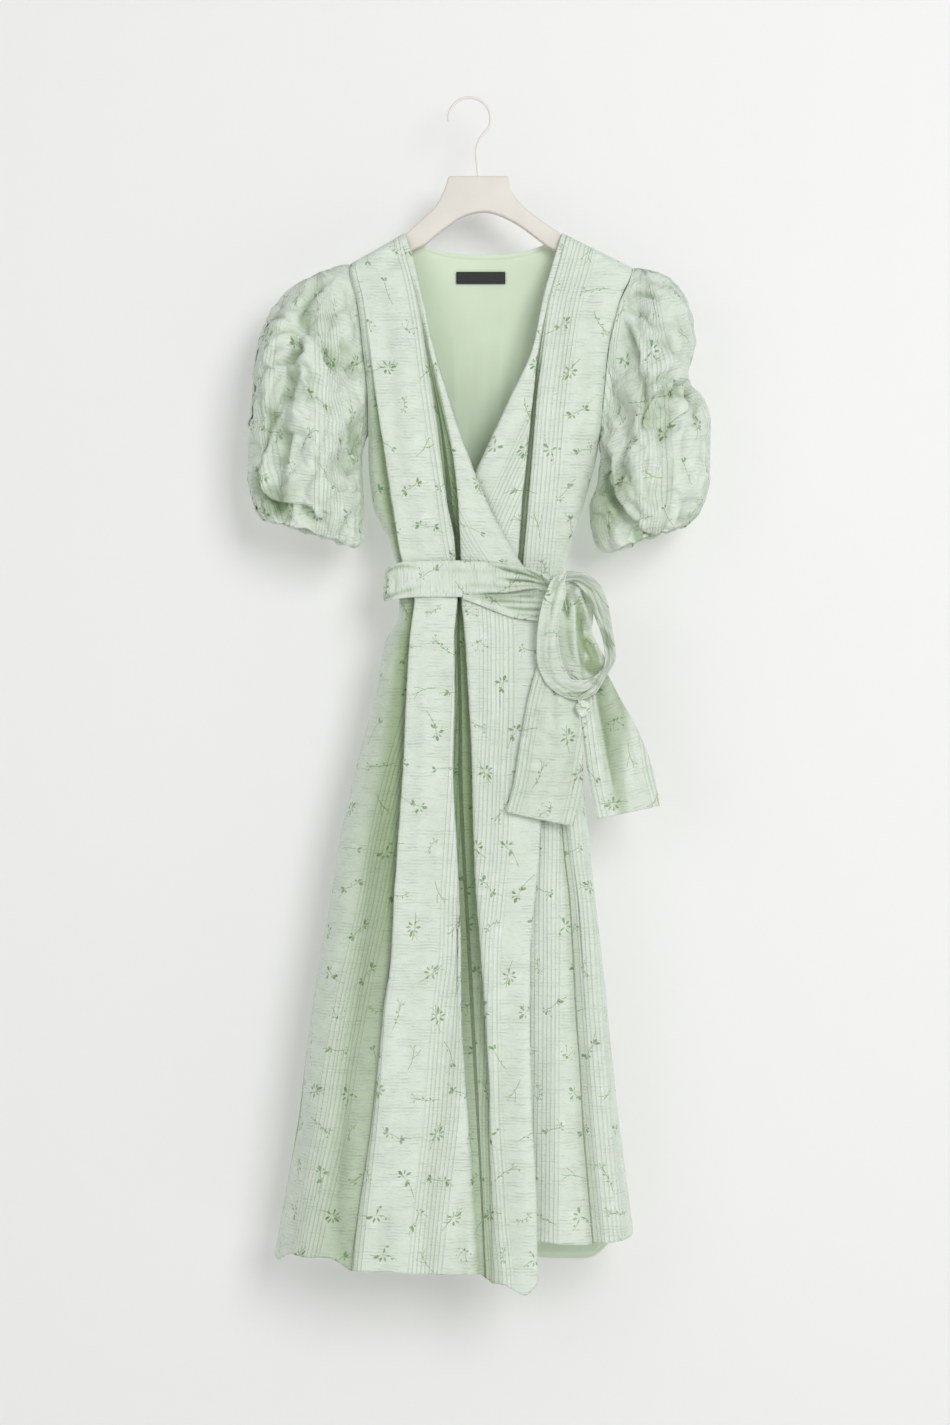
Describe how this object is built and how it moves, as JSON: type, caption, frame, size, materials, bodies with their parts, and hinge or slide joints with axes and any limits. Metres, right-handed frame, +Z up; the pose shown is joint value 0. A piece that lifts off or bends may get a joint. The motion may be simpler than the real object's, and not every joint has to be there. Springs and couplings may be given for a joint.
{
  "type": "wrap dress on a hanger",
  "caption": "Midi wrap dress with gathered puff sleeves, an overlapping skirt and a tied sash with a bow, hanging on a plain hanger with a wire hook.",
  "frame": {"origin": "underside of the top of the hanger's hook, where a rail or a peg carries it", "axes": "+Z up, -Y the dress's front, +X the wearer's left"},
  "size_m": [0.5261, 0.1375, 1.3442],
  "materials": {
    "print_cloth": "matte crinkled weave, pale green with a small sprig print",
    "plain_lining": "smooth plain green lining",
    "label": "black woven label, bare",
    "hanger_plastic": "satin cream",
    "hook_metal": "satin cream paint"
  },
  "bodies": {
    "root": {"bodice_front_over": "print_cloth", "bodice_front_under": "print_cloth", "bodice_back": "print_cloth", "bodice_back_lining": "plain_lining", "skirt_front_over": "print_cloth", "skirt_front_under": "print_cloth", "skirt_back": "print_cloth", "skirt_back_lining": "plain_lining", "sleeve_right": "print_cloth", "sleeve_left": "print_cloth", "sash_front": "print_cloth", "sash_lower": "print_cloth", "sash_back": "print_cloth", "sash_knot": "print_cloth", "bow_loop": "print_cloth", "bow_loop_inside": "print_cloth", "bow_loop_end": "print_cloth", "tail_front": "print_cloth", "tail_rear": "print_cloth", "label": "label", "hanger": "hanger_plastic", "hanger_hook": "hook_metal"}
  },
  "joints": []
}
